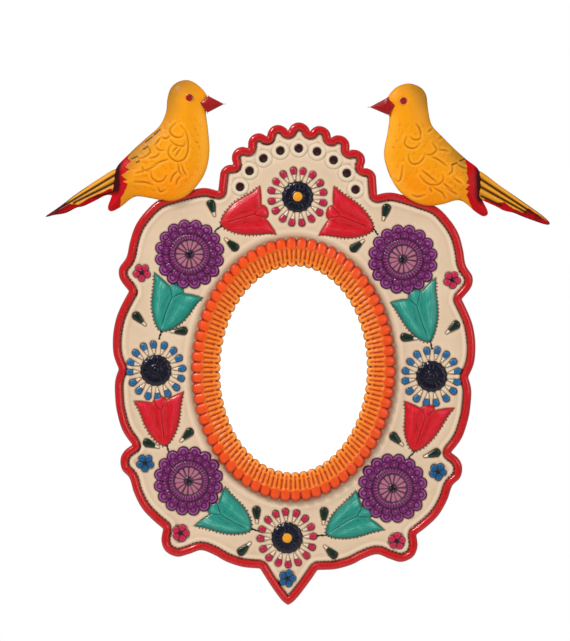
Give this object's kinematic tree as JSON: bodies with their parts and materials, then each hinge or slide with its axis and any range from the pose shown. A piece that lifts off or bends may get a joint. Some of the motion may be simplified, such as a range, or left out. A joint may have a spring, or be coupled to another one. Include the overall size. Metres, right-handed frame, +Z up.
{
  "type": "oval wall mirror in an embossed painted tin frame",
  "caption": "Oval wall mirror in an embossed, painted tin frame with a lobed ring around the glass, a tin bird on each shoulder and a wire ring behind to hang it by.",
  "frame": {"origin": "middle of the mirror, on the flat rear face of the back pan, which is the wall's surface", "axes": "+X to the right as one looks at the mirror, +Y into the wall, +Z up; the front faces -Y"},
  "size_m": [0.4152, 0.0193, 0.4322],
  "materials": {
    "painted_sheet": "cream enamel under gloss varnish, with red rim and many-coloured motifs",
    "orange_paint": "gloss",
    "bird_paint": "gloss varnish over rubbed antiquing",
    "tinplate": "bare rolled tinplate",
    "solder": "dull soft solder",
    "wire": "galvanised wire",
    "mirror_glass": "silvered glass",
    "card": "plain corrugated card"
  },
  "bodies": {
    "frame": {"face_sheet": "painted_sheet", "bezel_ring": "orange_paint", "bezel_tabs": "tinplate", "mirror_glass": "mirror_glass", "backing_card": "card", "back_pan": "tinplate", "pan_solder": "solder", "bird_left": "bird_paint", "bird_right": "bird_paint", "tail_left": "bird_paint", "tail_right": "bird_paint", "strap_left": "tinplate", "strap_right": "tinplate", "strap_solder": "solder", "hanger_lug": "tinplate", "hanger_solder": "solder"},
    "ring": {"hanger_ring": "wire"}
  },
  "joints": [
    {"name": "ring_swing", "type": "hinge", "parent": "frame", "child": "ring", "pos_m": [0, -0.0051, 0.171], "axis": [1, 0, 0], "range_deg": [0, 180]}
  ]
}
